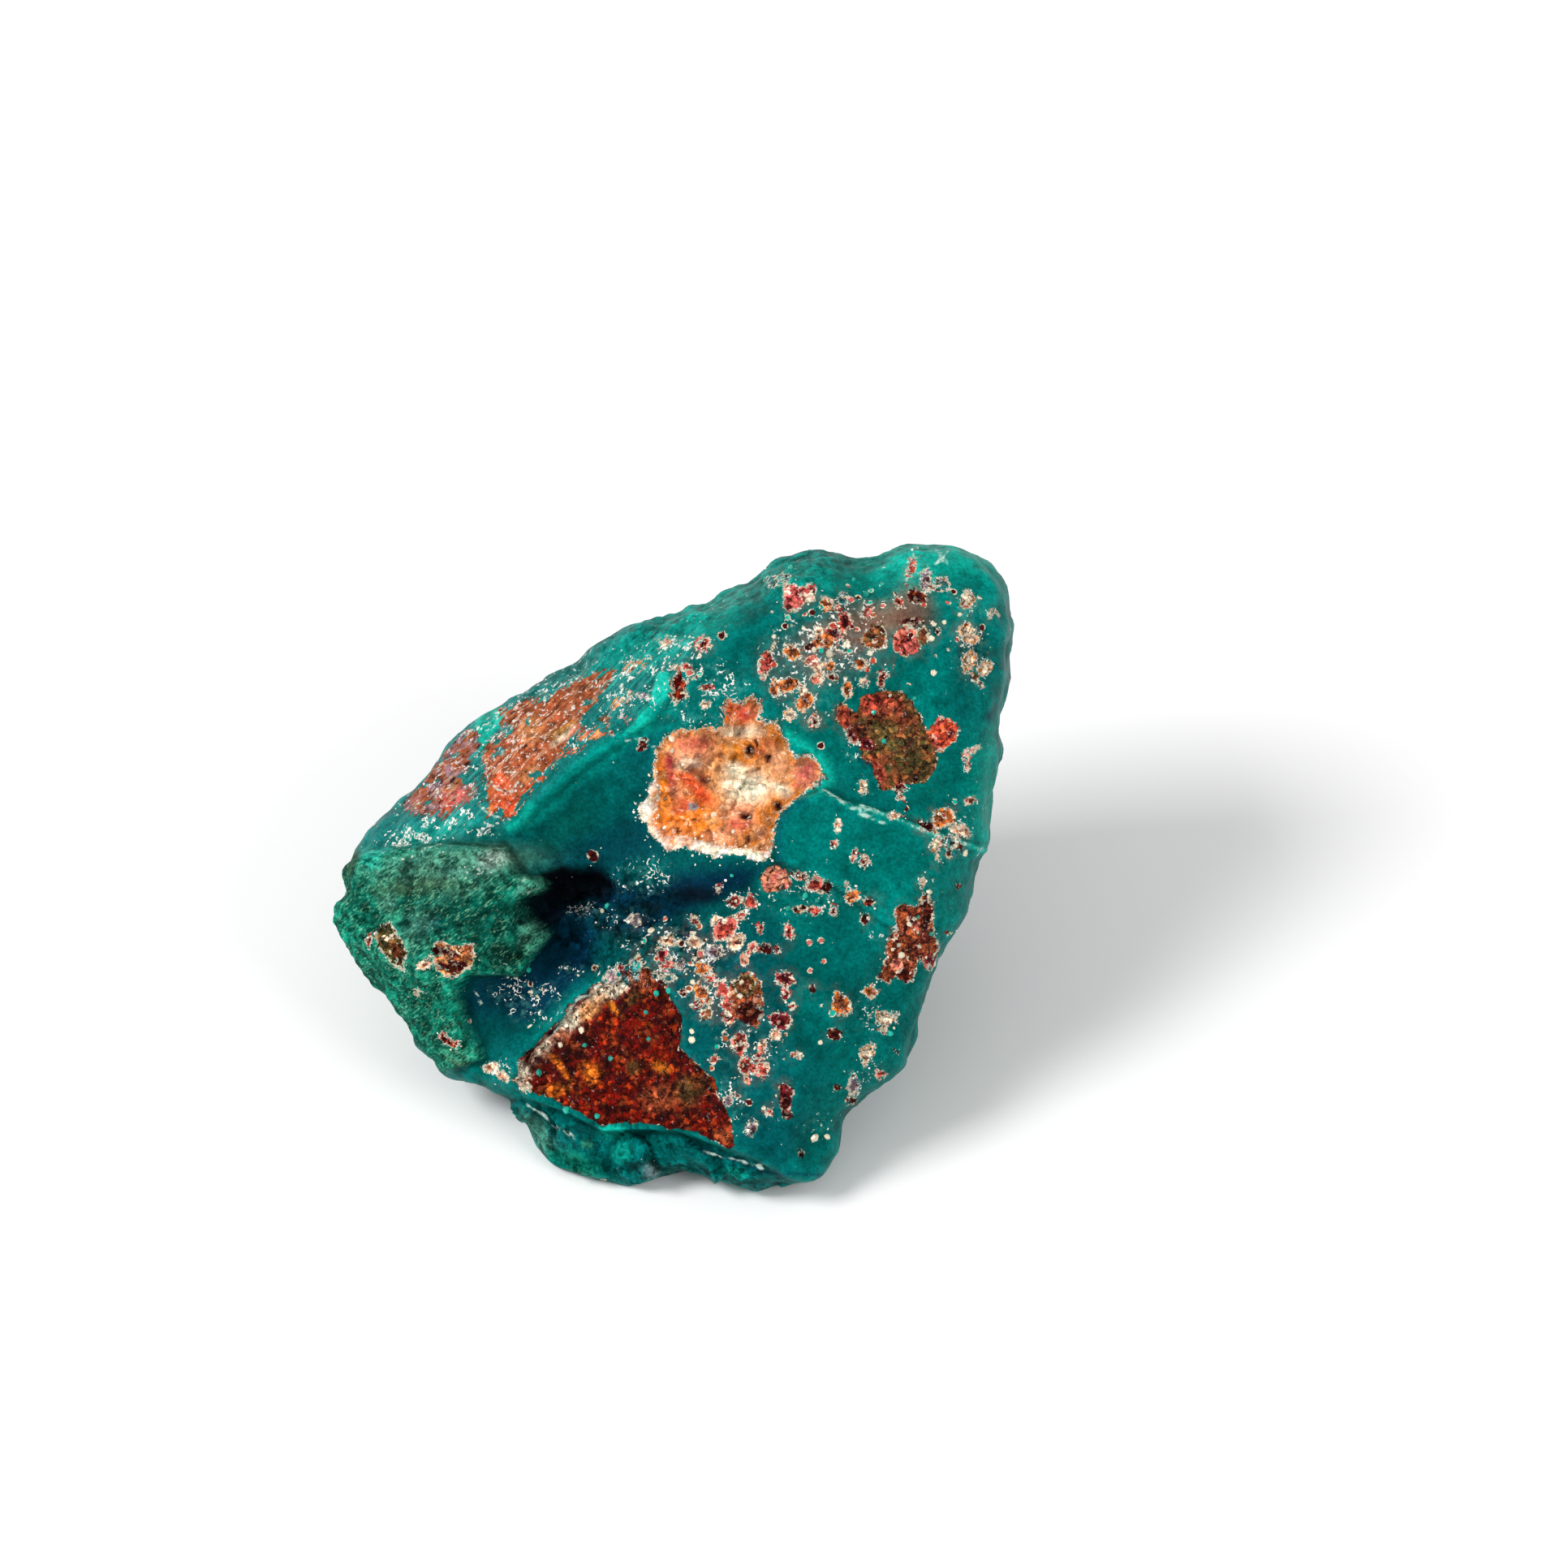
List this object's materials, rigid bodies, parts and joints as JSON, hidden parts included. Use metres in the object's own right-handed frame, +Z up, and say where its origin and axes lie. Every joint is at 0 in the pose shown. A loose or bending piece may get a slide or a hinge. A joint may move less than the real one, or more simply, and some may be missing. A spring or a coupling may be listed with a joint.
{
  "type": "rough mineral specimen",
  "caption": "Rough hand piece of dioptase and blue-green copper silicate on iron-stained quartz matrix, lying on a broad fracture face.",
  "frame": {"origin": "middle of the stone's bounding box, on the face it lies on", "axes": "+Z up; the large show face looks towards -Y and leans back 45 degrees; +X to the right of that face, which is the stone's longest side"},
  "size_m": [0.0448, 0.0358, 0.0298],
  "materials": {
    "copper_silicate_rock": "waxy to glassy broken surface, deep teal with brick-red, orange and cream patches and small pale-rimmed grains"
  },
  "bodies": {
    "root": {"dioptase_stone": "copper_silicate_rock"}
  },
  "joints": []
}
